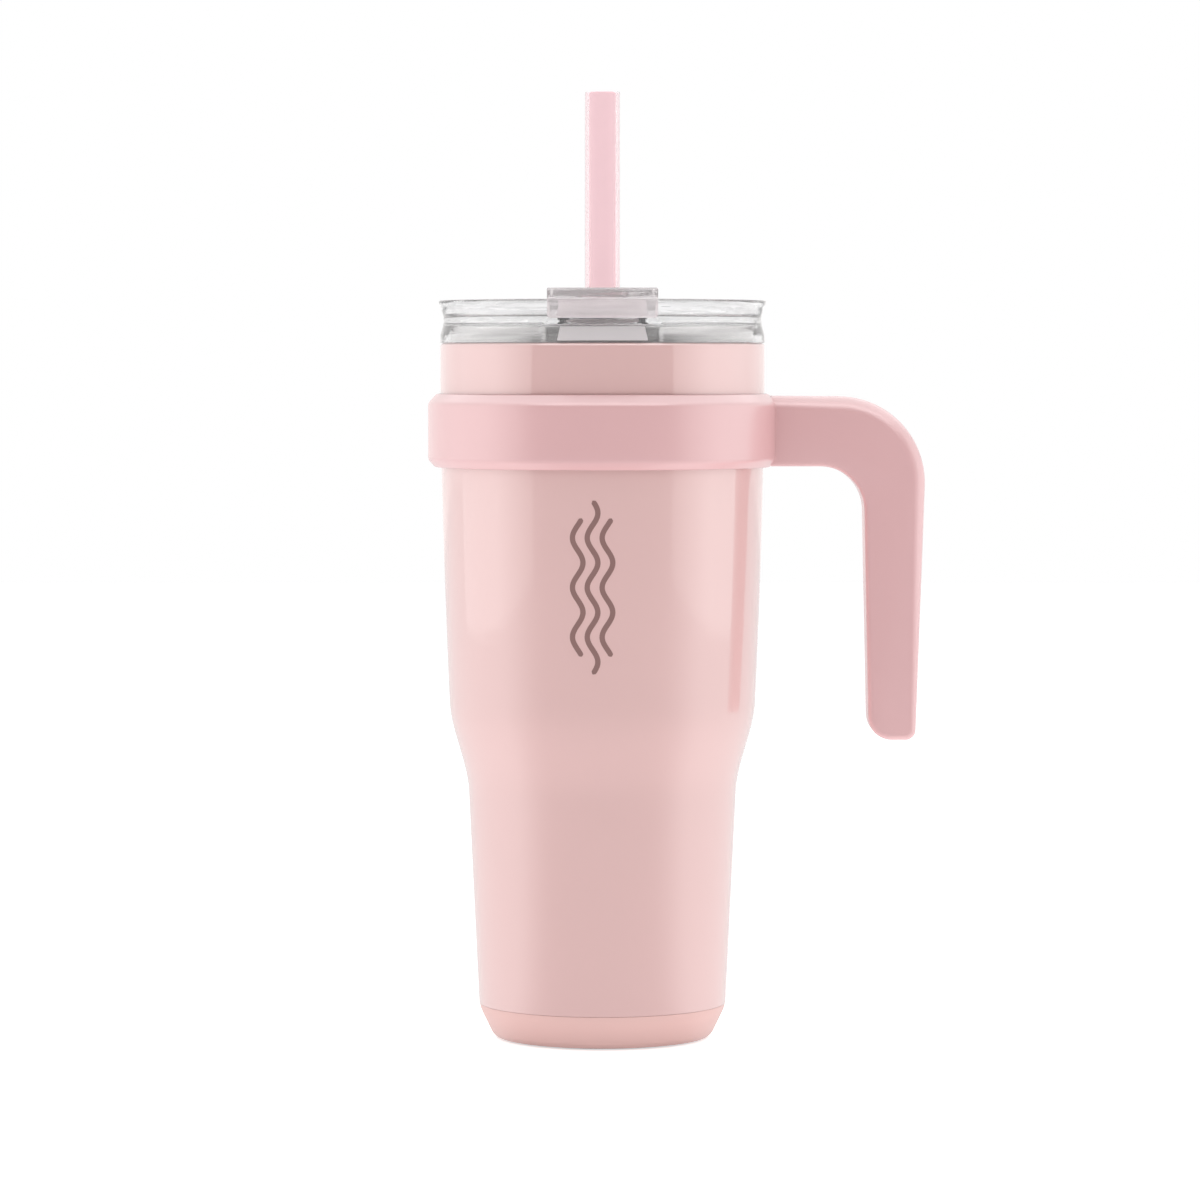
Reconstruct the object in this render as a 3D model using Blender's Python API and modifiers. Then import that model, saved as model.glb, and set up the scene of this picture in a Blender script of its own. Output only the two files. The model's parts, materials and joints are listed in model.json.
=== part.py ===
"""Insulated tumbler with a clear press-in lid, a flip-up sip flap, a straw and a collar handle.

Frame: metres, +Z up. The origin is the centre of the foot pad's underside, on the cup's axis.
The handle points to +X and the sip flap faces -Y.
"""

import math

import bmesh
import bpy
from mathutils import Matrix, Vector

MM = 0.001
GAP = 0.3 * MM  # left between pieces that touch

# Steel cup
R_MOUTH = 47.0 * MM  # outer wall, from the mouth down to the foot of the collar
R_LIP = 44.2 * MM  # bare steel lip that the lid closes over
Z_SHOULDER = 201.5 * MM
Z_LIP = 205.6 * MM
WALL = 0.5 * MM
VACUUM_OFFSET = 3.9 * MM  # from the outer wall's outer face to the liner's outer face
Z_BELLY = 190.7 * MM  # below this the wall draws in
Z_STEP_TOP = 97.7 * MM
Z_STEP_FOOT = 71.7 * MM
BELLY_DRAW = 2.6 * MM
BELLY_CURVE = 1.6
R_STEP_FOOT = 38.85 * MM
Z_SEAM = 10.1 * MM  # where the painted wall meets the base cap
R_SEAM = 35.9 * MM
LINER_FLOOR_Z = 9.2 * MM
LINER_TUBE_FOOT = 16.0 * MM
LINER_CORNER = 6.3 * MM

# Base
NECK_TOP_R = 34.4 * MM
NECK_FOOT_R = 31.2 * MM
NECK_FOOT_Z = 3.4 * MM
PAD_R = 29.0 * MM
PAD_T = 1.3 * MM

# Collar handle
COLLAR_R = 50.5 * MM
COLLAR_TOP = 186.9 * MM
COLLAR_FOOT = 165.7 * MM
COLLAR_BORE = R_MOUTH + GAP
BAND_T = 1.0 * MM
GRIP_HALF_WIDTH = 8.2 * MM
GRIP_EDGE = 2.2 * MM

# Lid
LID_TOP = 213.8 * MM
LID_FOOT = Z_SHOULDER + GAP
DECK_FOOT = 206.8 * MM
DECK_TOP = 209.0 * MM
CHANNEL_R = 44.6 * MM  # inner face of the outer wall, round the steel lip
SKIRT_R = 42.0 * MM
SKIRT_BORE = 39.6 * MM
SKIRT_FOOT = 193.7 * MM
GROOVE_R = 40.4 * MM
GROOVE_Z = (196.9 * MM, 201.4 * MM)
NOTCH_HALF_WIDTH = 16.9 * MM
NOTCH_R = 45.7 * MM
NOTCH_TOP = 208.7 * MM

# Sip flap and its hinge, straw and grommet
HINGE = Vector((0.0, -14.0 * MM, 213.0 * MM))
FLAP_HALF_WIDTH = 15.6 * MM
FLAP_FOOT = 214.2 * MM
FLAP_TOP = 216.9 * MM
FLAP_R = 50.4 * MM
FLAP_LIP_R = 48.0 * MM
FLAP_LIP_FOOT = 208.4 * MM
BARREL_R = 2.6 * MM
BARREL_HALF = 11.9 * MM
EAR_R = 3.0 * MM
EAR_X = (12.3 * MM, 15.3 * MM)
PIN_R = 1.0 * MM
SLOT_Y = -33.0 * MM
SLOT_HALF = (11.4 * MM, 4.6 * MM)
VENT_Y = -22.0 * MM
VENT_R = 1.2 * MM
STRAW_HOLE_R = 6.4 * MM
STRAW_R = 5.05 * MM
STRAW_BORE_R = 3.85 * MM
STRAW_FOOT = 10.1 * MM
STRAW_TOP = 274.0 * MM
STRAW_CUT_RISE = 4.0 * MM

ROUND = 32  # sides of a large turned piece
SMALL_ROUND = 24
SHARP = math.radians(32)


# ---------------------------------------------------------------- scene

def clear_scene():
    for obj in list(bpy.data.objects):
        bpy.data.objects.remove(obj)


def new_collection(name):
    collection = bpy.data.collections.new(name)
    bpy.context.scene.collection.children.link(collection)
    return collection


clear_scene()
PARTS = new_collection("insulated_tumbler")
CUTTERS = new_collection("cutters")


def material(name, colour, roughness, metallic=0.0, alpha=1.0):
    made = bpy.data.materials.new(name)
    made.use_nodes = True
    shader = made.node_tree.nodes["Principled BSDF"]
    shader.inputs["Base Color"].default_value = (*colour, 1.0)
    shader.inputs["Roughness"].default_value = roughness
    shader.inputs["Metallic"].default_value = metallic
    shader.inputs["Alpha"].default_value = alpha
    return made


PAINT = material("pink_paint", (0.80, 0.55, 0.53), 0.25)
PINK_PLASTIC = material("pink_plastic", (0.78, 0.50, 0.50), 0.45)
PINK_BASE = material("pink_base", (0.79, 0.52, 0.48), 0.5)
STRAW_PINK = material("straw_pink", (0.93, 0.68, 0.72), 0.35, alpha=0.85)
STEEL = material("steel", (0.62, 0.61, 0.60), 0.3, metallic=1.0)
CLEAR = material("clear_plastic", (0.93, 0.93, 0.94), 0.05, alpha=0.3)
SILICONE = material("silicone", (0.80, 0.80, 0.81), 0.55, alpha=0.8)
GREY_SILICONE = material("grey_silicone", (0.42, 0.40, 0.40), 0.7)
GETTER = material("getter", (0.20, 0.20, 0.21), 0.8, metallic=0.5)
GLASS_SOLDER = material("glass_solder", (0.25, 0.27, 0.30), 0.2)


# ---------------------------------------------------------------- makers

def add_object(name, mesh, finish=None):
    """Links a mesh as a part, or as a hidden cutter when it has no finish."""
    obj = bpy.data.objects.new(name, mesh)
    if finish is None:
        CUTTERS.objects.link(obj)
        obj.hide_render = True
        obj.display_type = "WIRE"
    else:
        PARTS.objects.link(obj)
        mesh.materials.append(finish)
        mesh.shade_smooth()
        mesh.set_sharp_from_angle(angle=SHARP)
    return obj


def mesh_from(bm, name):
    bmesh.ops.recalc_face_normals(bm, faces=bm.faces)
    mesh = bpy.data.meshes.new(name)
    bm.to_mesh(mesh)
    bm.free()
    return mesh


def turned(name, profile, finish=None, steps=ROUND, centre=(0.0, 0.0, 0.0)):
    """A body of revolution about Z. The profile lists (radius, z) down the outer side.

    It closes on itself, unless both its ends are on the axis.
    """
    solid = profile[0][0] == 0 and profile[-1][0] == 0
    points = [(r, 0.0, z) for r, z in profile]
    edges = [(i, i + 1) for i in range(len(points) - 1)]
    if not solid:
        edges.append((len(points) - 1, 0))
    mesh = bpy.data.meshes.new(name)
    mesh.from_pydata(points, edges, [])
    obj = add_object(name, mesh, finish)
    obj.location = centre
    screw = obj.modifiers.new("turn", "SCREW")
    screw.steps = steps
    screw.render_steps = steps
    screw.use_merge_vertices = True
    screw.merge_threshold = 0.00001
    screw.use_smooth_shade = True
    return obj


def prism(name, outline, axis, low, high, finish=None):
    """An outline of two coordinates, extruded along the third axis from low to high."""
    at = {
        "X": lambda u, v, w: (w, u, v),
        "Y": lambda u, v, w: (u, w, v),
        "Z": lambda u, v, w: (u, v, w),
    }[axis]
    bm = bmesh.new()
    face = bm.faces.new([bm.verts.new(at(u, v, low)) for u, v in outline])
    shift = Vector(at(0, 0, high)) - Vector(at(0, 0, low))
    grown = bmesh.ops.extrude_face_region(bm, geom=[face])["geom"]
    bmesh.ops.translate(bm, verts=[g for g in grown if isinstance(g, bmesh.types.BMVert)], vec=shift)
    return add_object(name, mesh_from(bm, name), finish)


def block(name, low, high, finish=None):
    bm = bmesh.new()
    size = Vector(high) - Vector(low)
    middle = (Vector(high) + Vector(low)) / 2
    bmesh.ops.create_cube(bm, size=1.0, matrix=Matrix.Translation(middle) @ Matrix.Diagonal((*size, 1.0)))
    return add_object(name, mesh_from(bm, name), finish)


def rod(name, centre, radius, half_length, finish=None, steps=SMALL_ROUND):
    """A cylinder along X, with its origin at its centre."""
    bm = bmesh.new()
    bmesh.ops.create_cone(
        bm, cap_ends=True, segments=steps, radius1=radius, radius2=radius, depth=2 * half_length,
        matrix=Matrix.Rotation(math.pi / 2, 4, "Y"),
    )
    obj = add_object(name, mesh_from(bm, name), finish)
    obj.location = centre
    return obj


def boolean(obj, operation, other):
    modifier = obj.modifiers.new(f"{operation.lower()}_{other.name}", "BOOLEAN")
    modifier.operation = operation
    modifier.object = other
    modifier.solver = "EXACT"


def arc(centre, radius, start, end, steps):
    """Points along an arc, in degrees, counter-clockwise from the first coordinate."""
    turn = [math.radians(start + (end - start) * i / steps) for i in range(steps + 1)]
    return [(centre[0] + radius * math.cos(a), centre[1] + radius * math.sin(a)) for a in turn]


def rounded_outline(corners, steps=6):
    """A closed outline from (u, v, radius) corners, each corner with a radius turned into an arc."""
    points = []
    for i, (u, v, radius) in enumerate(corners):
        here = Vector((u, v))
        if radius == 0:
            points.append((u, v))
            continue
        before = (Vector(corners[i - 1][:2]) - here).normalized()
        after = (Vector(corners[(i + 1) % len(corners)][:2]) - here).normalized()
        half = before.angle(after) / 2
        centre = here + (before + after).normalized() * radius / math.sin(half)
        first = here + before * radius / math.tan(half) - centre
        start = math.degrees(math.atan2(first.y, first.x))
        sweep = 180 - math.degrees(2 * half)
        if before.cross(after) > 0:
            sweep = -sweep
        points += arc(centre, radius, start, start + sweep, steps)
    return points


def stadium(centre, half_long, half_short, steps=6):
    """An outline with round ends, long in the first coordinate."""
    reach = half_long - half_short
    right = arc((centre[0] + reach, centre[1]), half_short, -90, 90, steps)
    left = arc((centre[0] - reach, centre[1]), half_short, 90, 270, steps)
    return right + left


# ---------------------------------------------------------------- shared outlines

def wall_radius(z):
    """The cup's outer face: a straight mouth, a belly that draws in, a soft step and a taper."""
    depth = max(0.0, (Z_BELLY - z) / (Z_BELLY - Z_STEP_TOP))
    upper = R_MOUTH - BELLY_DRAW * depth**BELLY_CURVE
    slope = (R_STEP_FOOT - R_SEAM) / (Z_STEP_FOOT - Z_SEAM)
    lower = R_SEAM + slope * (z - Z_SEAM)
    share = min(1.0, max(0.0, (Z_STEP_TOP - z) / (Z_STEP_TOP - Z_STEP_FOOT)))
    blend = share * share * (3 - 2 * share)
    return upper + (lower - upper) * blend


def wall_heights(foot):
    """Heights, top to bottom, where the wall's outline needs a point."""
    belly = [Z_BELLY + (Z_STEP_TOP - Z_BELLY) * share for share in (0.0, 0.3, 0.65, 1.0)]
    step = [Z_STEP_TOP + (Z_STEP_FOOT - Z_STEP_TOP) * share for share in (0.25, 0.5, 0.75, 1.0)]
    return belly + step + [foot]


def wall_line(offset, foot):
    """The wall's outline moved inwards by an offset, top to bottom."""
    return [(wall_radius(z) - offset, z) for z in wall_heights(foot)]


# ---------------------------------------------------------------- steel cup

def make_outer_shell():
    chamfer = 0.8 * MM
    outer = [
        (R_LIP, Z_LIP),
        (R_LIP, Z_SHOULDER),
        (R_MOUTH - chamfer, Z_SHOULDER),
        (R_MOUTH, Z_SHOULDER - chamfer),
        *wall_line(0.0, Z_SEAM),
        (NECK_TOP_R, Z_SEAM),
        (NECK_FOOT_R, NECK_FOOT_Z),
    ]
    inner = [
        (R_LIP - WALL, Z_LIP),
        (R_LIP - WALL, Z_SHOULDER - WALL),
        (R_MOUTH - WALL, Z_SHOULDER - WALL - chamfer),
        *wall_line(WALL, Z_SEAM + WALL),
        (NECK_TOP_R - WALL, Z_SEAM + WALL),
        (NECK_FOOT_R - WALL, NECK_FOOT_Z),
    ]
    return turned("outer_shell", outer + inner[::-1], PAINT)


def make_inner_liner():
    flange_foot = Z_LIP + GAP
    flange_top = flange_foot + WALL
    outer = [
        (R_LIP, flange_top),
        (R_LIP, flange_foot),
        (R_MOUTH - VACUUM_OFFSET, flange_foot),
        *wall_line(VACUUM_OFFSET, LINER_TUBE_FOOT),
    ]
    inner = [
        (R_MOUTH - VACUUM_OFFSET - WALL, flange_top),
        *wall_line(VACUUM_OFFSET + WALL, LINER_TUBE_FOOT),
    ]
    return turned("inner_liner", outer + inner[::-1], STEEL)


def make_liner_floor():
    rim_z = LINER_TUBE_FOOT - GAP
    rim_r = wall_radius(LINER_TUBE_FOOT) - VACUUM_OFFSET
    corner = (rim_r - LINER_CORNER, LINER_FLOOR_Z + LINER_CORNER)
    outer = [(rim_r, rim_z), *arc(corner, LINER_CORNER, 0, -90, 4), (0.0, LINER_FLOOR_Z)]
    inner = [(0.0, LINER_FLOOR_Z + WALL), *arc(corner, LINER_CORNER - WALL, -90, 0, 4), (rim_r - WALL, rim_z)]
    return turned("liner_floor", inner + outer, STEEL)


def make_outer_base_disc():
    """Disc welded into the outer wall's neck, with the pocket and hole that air is drawn out of."""
    rim_r = NECK_FOOT_R - WALL - 0.4 * MM
    low, high = 3.9 * MM, 4.5 * MM
    pocket_r, pocket_rise = 4.5 * MM, 1.2 * MM
    hole_r = 0.9 * MM
    profile = [
        (hole_r, high + pocket_rise),
        (pocket_r, high + pocket_rise),
        (pocket_r, high),
        (rim_r, high),
        (rim_r, NECK_FOOT_Z),
        (rim_r - WALL, NECK_FOOT_Z),
        (rim_r - WALL, low),
        (pocket_r - 0.6 * MM, low),
        (pocket_r - 0.6 * MM, low + pocket_rise),
        (hole_r, low + pocket_rise),
    ]
    return turned("outer_base_disc", profile, STEEL)


def make_vacuum_seal_bead():
    """Drop of glass solder that closes the evacuation hole."""
    profile = [
        (0.0, 5.3 * MM),
        (0.6 * MM, 5.3 * MM),
        (0.6 * MM, 4.8 * MM),
        (2.9 * MM, 4.8 * MM),
        (2.9 * MM, 4.2 * MM),
        (1.8 * MM, 3.8 * MM),
        (0.0, 3.7 * MM),
    ]
    return turned("vacuum_seal_bead", profile, GLASS_SOLDER, steps=SMALL_ROUND)


def make_getter_pellet():
    radius = 4.0 * MM
    profile = [(0.0, 1.8 * MM), (radius, 1.8 * MM), (radius, 0.0), (0.0, 0.0)]
    return turned("getter_pellet", profile, GETTER, steps=SMALL_ROUND, centre=(16 * MM, 0.0, 4.8 * MM))


# ---------------------------------------------------------------- base

def make_base_cap():
    top = Z_SEAM - GAP
    floor_foot = PAD_T + GAP
    floor_top = NECK_FOOT_Z - 0.4 * MM
    lift = 0.3 * MM  # the cap clears the table, and the pad carries the cup
    outer = [
        (R_SEAM - 0.1 * MM, top),
        (35.3 * MM, 8.2 * MM),
        (34.0 * MM, 5.3 * MM),
        (32.5 * MM, 2.3 * MM),
        (31.6 * MM, 0.8 * MM),
        (30.8 * MM, lift),
        (PAD_R + GAP, lift),
        (PAD_R + GAP, floor_foot),
        (0.0, floor_foot),
    ]
    inner = [
        (0.0, floor_top),
        (NECK_FOOT_R + 0.4 * MM, floor_top),
        (NECK_TOP_R + 0.2 * MM, top),
    ]
    return turned("base_cap", inner + outer, PINK_BASE)


def make_foot_pad():
    profile = [(0.0, PAD_T), (PAD_R, PAD_T), (PAD_R, 0.0), (0.0, 0.0)]
    return turned("foot_pad", profile, GREY_SILICONE)


# ---------------------------------------------------------------- handle

def make_handle():
    """Collar, arm and open-ended grip, moulded as one piece."""
    recess_r = COLLAR_BORE + BAND_T + GAP
    recess = (COLLAR_FOOT + 2.2 * MM, COLLAR_TOP - 2.2 * MM)
    shoulder = 3.0 * MM
    drop = 2.2 * MM
    tilt = math.cos(math.radians(45))
    profile = [
        (COLLAR_BORE, COLLAR_TOP),
        (COLLAR_R - shoulder * (1 - tilt), COLLAR_TOP - drop * (1 - tilt)),
        (COLLAR_R, COLLAR_TOP - drop),
        (COLLAR_R, COLLAR_FOOT + drop),
        (COLLAR_R - shoulder * (1 - tilt), COLLAR_FOOT + drop * (1 - tilt)),
        (COLLAR_BORE, COLLAR_FOOT),
        (COLLAR_BORE, recess[0]),
        (recess_r, recess[0]),
        (recess_r, recess[1]),
        (COLLAR_BORE, recess[1]),
    ]
    handle = turned("handle", profile, PINK_PLASTIC)
    grip = make_grip_shape()
    boolean(grip, "DIFFERENCE", turned("grip_root", [
        (0.0, COLLAR_TOP + MM),
        (recess_r + 0.6 * MM, COLLAR_TOP + MM),
        (recess_r + 0.6 * MM, COLLAR_FOOT - MM),
        (0.0, COLLAR_FOOT - MM),
    ]))
    boolean(handle, "UNION", grip)
    return handle


def make_grip_shape():
    """The arm that leaves the collar, turns down and ends in the open."""
    root_x = 30 * MM
    outline = rounded_outline([
        (root_x, 186.5 * MM, 0.0),
        (94.3 * MM, 186.0 * MM, 25.0 * MM),
        (90.6 * MM, 86.8 * MM, 3.0 * MM),
        (77.0 * MM, 86.8 * MM, 7.0 * MM),
        (75.4 * MM, 166.0 * MM, 12.8 * MM),
        (root_x, 166.0 * MM, 0.0),
    ])
    grip = prism("grip_shape", outline, "Y", -GRIP_HALF_WIDTH, GRIP_HALF_WIDTH)
    edge = grip.modifiers.new("edge", "BEVEL")
    edge.width = GRIP_EDGE
    edge.segments = 2
    edge.limit_method = "ANGLE"
    edge.angle_limit = math.radians(60)
    return grip


def make_handle_band():
    """Silicone band inside the collar, which grips the steel."""
    low, high = COLLAR_FOOT + 2.5 * MM, COLLAR_TOP - 2.5 * MM
    inside, outside = COLLAR_BORE, COLLAR_BORE + BAND_T
    profile = [(outside, high), (outside, low), (inside, low), (inside, high)]
    return turned("handle_band", profile, SILICONE)


# ---------------------------------------------------------------- lid

def ear_outline():
    reach = EAR_R + 0.4 * MM
    foot = DECK_TOP - 1.0 * MM
    top = arc((HINGE.y, HINGE.z), EAR_R, 0, 180, 8)
    return [(HINGE.y - reach, foot), (HINGE.y + reach, foot), *top]


def make_lid_body():
    waist = 207.9 * MM
    outer = [
        (47.1 * MM, LID_TOP),
        (47.6 * MM, LID_TOP - 0.5 * MM),
        (46.9 * MM, 211.6 * MM),
        (46.25 * MM, 209.6 * MM),
        (46.0 * MM, waist),
        (46.35 * MM, 205.9 * MM),
        (47.0 * MM, 203.9 * MM),
        (47.1 * MM, LID_FOOT),
    ]
    under = [
        (CHANNEL_R, LID_FOOT),
        (CHANNEL_R, DECK_FOOT),
        (SKIRT_R, DECK_FOOT),
        (SKIRT_R, GROOVE_Z[1]),
        (GROOVE_R, GROOVE_Z[1]),
        (GROOVE_R, GROOVE_Z[0]),
        (SKIRT_R, GROOVE_Z[0]),
        (SKIRT_R - 0.6 * MM, SKIRT_FOOT),
        (SKIRT_BORE, SKIRT_FOOT),
        (SKIRT_BORE, DECK_FOOT),
        (STRAW_HOLE_R, DECK_FOOT),
    ]
    top = [(STRAW_HOLE_R, DECK_TOP), (44.0 * MM, DECK_TOP), (45.5 * MM, LID_TOP)]
    lid = turned("lid_body", outer + under + top, CLEAR)
    for side, name in ((-1, "left"), (1, "right")):
        ends = sorted(side * x for x in EAR_X)
        boolean(lid, "UNION", prism(f"ear_{name}", ear_outline(), "X", *ends))
    boolean(lid, "DIFFERENCE", rod("ear_bore", HINGE, PIN_R + GAP, EAR_X[1] + 2 * MM))
    slot = stadium((0.0, SLOT_Y), *SLOT_HALF)
    boolean(lid, "DIFFERENCE", prism("sip_slot", slot, "Z", DECK_FOOT - 2 * MM, DECK_TOP + 2 * MM))
    vent = arc((0.0, VENT_Y), VENT_R, 0, 330, 11)
    boolean(lid, "DIFFERENCE", prism("vent_hole", vent, "Z", DECK_FOOT - 2 * MM, DECK_TOP + 2 * MM))
    boolean(lid, "DIFFERENCE", make_notch_cutter())
    return lid


def make_notch_cutter():
    """Relief in the lid's lower band, where a finger reaches under the flap's lip."""
    far = R_MOUTH + 6 * MM
    foot = LID_FOOT - 2 * MM
    ring = turned("notch_ring", [(far, NOTCH_TOP), (far, foot), (NOTCH_R, foot), (NOTCH_R, NOTCH_TOP)])
    window = block(
        "notch_window",
        (-NOTCH_HALF_WIDTH, -far - 2 * MM, foot - 1 * MM),
        (NOTCH_HALF_WIDTH, -20 * MM, NOTCH_TOP + 1 * MM),
    )
    boolean(ring, "INTERSECT", window)
    return ring


def make_lid_gasket():
    low, high = GROOVE_Z[0] + GAP, GROOVE_Z[1] - GAP
    inside, body, rib = GROOVE_R + GAP, SKIRT_R - 0.4 * MM, SKIRT_R + 0.25 * MM
    middle, rib_half = (low + high) / 2, 0.8 * MM
    profile = [
        (body, high),
        (rib, high - rib_half),
        (body, middle),
        (rib, low + rib_half),
        (body, low),
        (inside, low),
        (inside, high),
    ]
    return turned("lid_gasket", profile, SILICONE)


def make_straw_grommet():
    bore = STRAW_R + GAP
    neck = STRAW_HOLE_R - GAP
    flange = 8.6 * MM
    flange_t = 1.4 * MM
    low, high = DECK_FOOT - GAP, DECK_TOP + GAP
    profile = [
        (bore + 0.6 * MM, high + flange_t),
        (flange, high + flange_t),
        (flange, high),
        (neck, high),
        (neck, low),
        (flange, low),
        (flange, low - flange_t),
        (bore + 0.6 * MM, low - flange_t),
        (bore, low),
        (bore, high),
    ]
    return turned("straw_grommet", profile, SILICONE, steps=SMALL_ROUND)


# ---------------------------------------------------------------- sip flap

def make_sip_flap():
    """Plate over the rim, with a lip that hooks down outside it and a hinge barrel at the back."""
    disc = turned("sip_flap", [
        (0.0, FLAP_TOP),
        (FLAP_R - 0.6 * MM, FLAP_TOP),
        (FLAP_R, FLAP_TOP - 0.6 * MM),
        (FLAP_R, FLAP_LIP_FOOT),
        (FLAP_LIP_R, FLAP_LIP_FOOT),
        (FLAP_LIP_R, FLAP_FOOT),
        (0.0, FLAP_FOOT),
    ], CLEAR, steps=2 * ROUND)
    wide_back = HINGE.y - 4.4 * MM
    front = -FLAP_R - 2 * MM
    plan = prism("flap_plan", [
        (-FLAP_HALF_WIDTH, front),
        (FLAP_HALF_WIDTH, front),
        (FLAP_HALF_WIDTH, wide_back),
        (BARREL_HALF, wide_back),
        (BARREL_HALF, HINGE.y),
        (-BARREL_HALF, HINGE.y),
        (-BARREL_HALF, wide_back),
        (-FLAP_HALF_WIDTH, wide_back),
    ], "Z", FLAP_LIP_FOOT - 3 * MM, FLAP_TOP + 3 * MM)
    boolean(disc, "INTERSECT", plan)
    boolean(disc, "UNION", rod("flap_barrel", HINGE, BARREL_R, BARREL_HALF))
    boolean(disc, "DIFFERENCE", rod("flap_bore", HINGE, PIN_R + GAP, BARREL_HALF + 2 * MM))
    return disc


def make_sip_plug():
    """Silicone stopper under the flap: a pad on the deck and a tapered nose in the slot."""
    steps = 6
    seat = DECK_TOP + GAP
    nose_foot = 206.3 * MM
    rings = [
        (FLAP_FOOT - GAP, 12.2 * MM, 5.4 * MM),
        (seat, 12.2 * MM, 5.4 * MM),
        (seat, 11.0 * MM, 4.2 * MM),
        (nose_foot, 10.2 * MM, 3.2 * MM),
    ]
    bm = bmesh.new()
    loops = []
    for z, half_long, half_short in rings:
        outline = stadium((0.0, SLOT_Y), half_long, half_short, steps)
        loops.append([bm.verts.new((x, y, z)) for x, y in outline])
    for upper, lower in zip(loops, loops[1:]):
        for i in range(len(upper)):
            j = (i + 1) % len(upper)
            bm.faces.new((upper[i], upper[j], lower[j], lower[i]))
    bm.faces.new(loops[0])
    bm.faces.new(loops[-1])
    return add_object("sip_plug", mesh_from(bm, "sip_plug"), SILICONE)


def make_vent_plug():
    radius = 2.2 * MM
    profile = [
        (0.0, FLAP_FOOT - GAP),
        (radius, FLAP_FOOT - GAP),
        (radius, DECK_TOP + 0.6 * MM),
        (radius - 0.4 * MM, DECK_TOP + GAP),
        (0.0, DECK_TOP + GAP),
    ]
    return turned("vent_plug", profile, SILICONE, steps=12, centre=(0.0, VENT_Y, 0.0))


def make_hinge_pin():
    return rod("flap_hinge_pin", HINGE, PIN_R, EAR_X[1] - 0.3 * MM, STEEL, steps=16)


# ---------------------------------------------------------------- straw

def make_straw():
    """A straight tube whose foot is cut at a slant, so that it can stand on the cup's floor."""
    straw = turned("straw", [
        (STRAW_R, STRAW_TOP),
        (STRAW_R, STRAW_FOOT),
        (STRAW_BORE_R, STRAW_FOOT),
        (STRAW_BORE_R, STRAW_TOP),
    ], STRAW_PINK, steps=SMALL_ROUND)
    reach = 12 * MM
    slant = math.atan2(STRAW_CUT_RISE, 2 * STRAW_R)
    cutter = block("straw_cut", (-reach, -reach, -2 * reach), (reach, reach, 0.0))
    cutter.location = (STRAW_R, 0.0, STRAW_FOOT + STRAW_CUT_RISE)
    cutter.rotation_euler = (0.0, -slant, 0.0)
    boolean(straw, "DIFFERENCE", cutter)
    return straw


make_outer_shell()
make_inner_liner()
make_liner_floor()
make_outer_base_disc()
make_vacuum_seal_bead()
make_getter_pellet()
make_base_cap()
make_foot_pad()
make_handle()
make_handle_band()
make_lid_body()
make_lid_gasket()
make_straw_grommet()
make_sip_flap()
make_sip_plug()
make_vent_plug()
make_hinge_pin()
make_straw()
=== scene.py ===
"""Looks of the insulated tumbler: fine meshes, materials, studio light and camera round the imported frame.

Metres, +Z up. The handle points to +X and the sip flap faces -Y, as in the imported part.
"""

import json
import math

import bmesh
import bpy
from mathutils import Matrix, Vector


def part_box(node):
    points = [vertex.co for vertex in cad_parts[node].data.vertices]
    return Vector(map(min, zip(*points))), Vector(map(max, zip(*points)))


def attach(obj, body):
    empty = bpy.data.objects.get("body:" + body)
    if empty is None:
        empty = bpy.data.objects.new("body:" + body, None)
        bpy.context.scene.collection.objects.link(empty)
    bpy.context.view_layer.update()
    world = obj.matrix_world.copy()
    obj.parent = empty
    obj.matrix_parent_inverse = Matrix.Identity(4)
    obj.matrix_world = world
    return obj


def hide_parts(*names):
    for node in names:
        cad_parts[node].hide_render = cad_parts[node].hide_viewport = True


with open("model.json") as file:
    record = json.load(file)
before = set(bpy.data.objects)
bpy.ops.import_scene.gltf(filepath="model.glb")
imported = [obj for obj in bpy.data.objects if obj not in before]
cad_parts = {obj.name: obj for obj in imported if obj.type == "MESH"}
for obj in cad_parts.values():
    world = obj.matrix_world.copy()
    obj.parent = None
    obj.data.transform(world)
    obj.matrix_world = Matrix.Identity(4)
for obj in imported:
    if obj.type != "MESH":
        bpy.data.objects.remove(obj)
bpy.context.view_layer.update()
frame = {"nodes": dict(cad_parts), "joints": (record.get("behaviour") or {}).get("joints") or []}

MM = 0.001
GAP = 0.3 * MM  # between neighbouring pieces of the frame


def joint_origin(name):
    found = [joint for joint in frame["joints"] if joint["name"] == name]
    return Vector(found[0]["pos_m"])


# ---------------------------------------------------------------- sizes from the frame

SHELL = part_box("outer_shell")
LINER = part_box("inner_liner")
FLOOR_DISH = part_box("liner_floor")
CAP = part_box("base_cap")
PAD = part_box("foot_pad")
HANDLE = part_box("handle")
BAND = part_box("handle_band")
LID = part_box("lid_body")
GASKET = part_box("lid_gasket")
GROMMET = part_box("straw_grommet")
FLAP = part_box("sip_flap")
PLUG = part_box("sip_plug")
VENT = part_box("vent_plug")
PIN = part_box("flap_hinge_pin")
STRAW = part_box("straw")
HINGE = joint_origin("flap_open")

R_MOUTH = SHELL[1].x
Z_LIP = SHELL[1].z
Z_SHOULDER = Z_LIP - 4.1 * MM
Z_SEAM = CAP[1].z + GAP
R_SEAM = CAP[1].x + 0.1 * MM
R_LIP = LINER[1].x
WALL = 0.5 * MM
LINER_INSET = 4.4 * MM  # from the painted face to the drinking face

Z_BELLY = 190.7 * MM
Z_STEP_TOP = 97.7 * MM
Z_STEP_FOOT = 71.7 * MM
BELLY_DRAW = 2.6 * MM
BELLY_CURVE = 1.6
R_STEP_FOOT = 38.85 * MM

COLLAR_R = -HANDLE[0].x
COLLAR_TOP = HANDLE[1].z
COLLAR_FOOT = COLLAR_TOP - 21.2 * MM
COLLAR_BORE = BAND[1].x - 1.0 * MM

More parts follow.
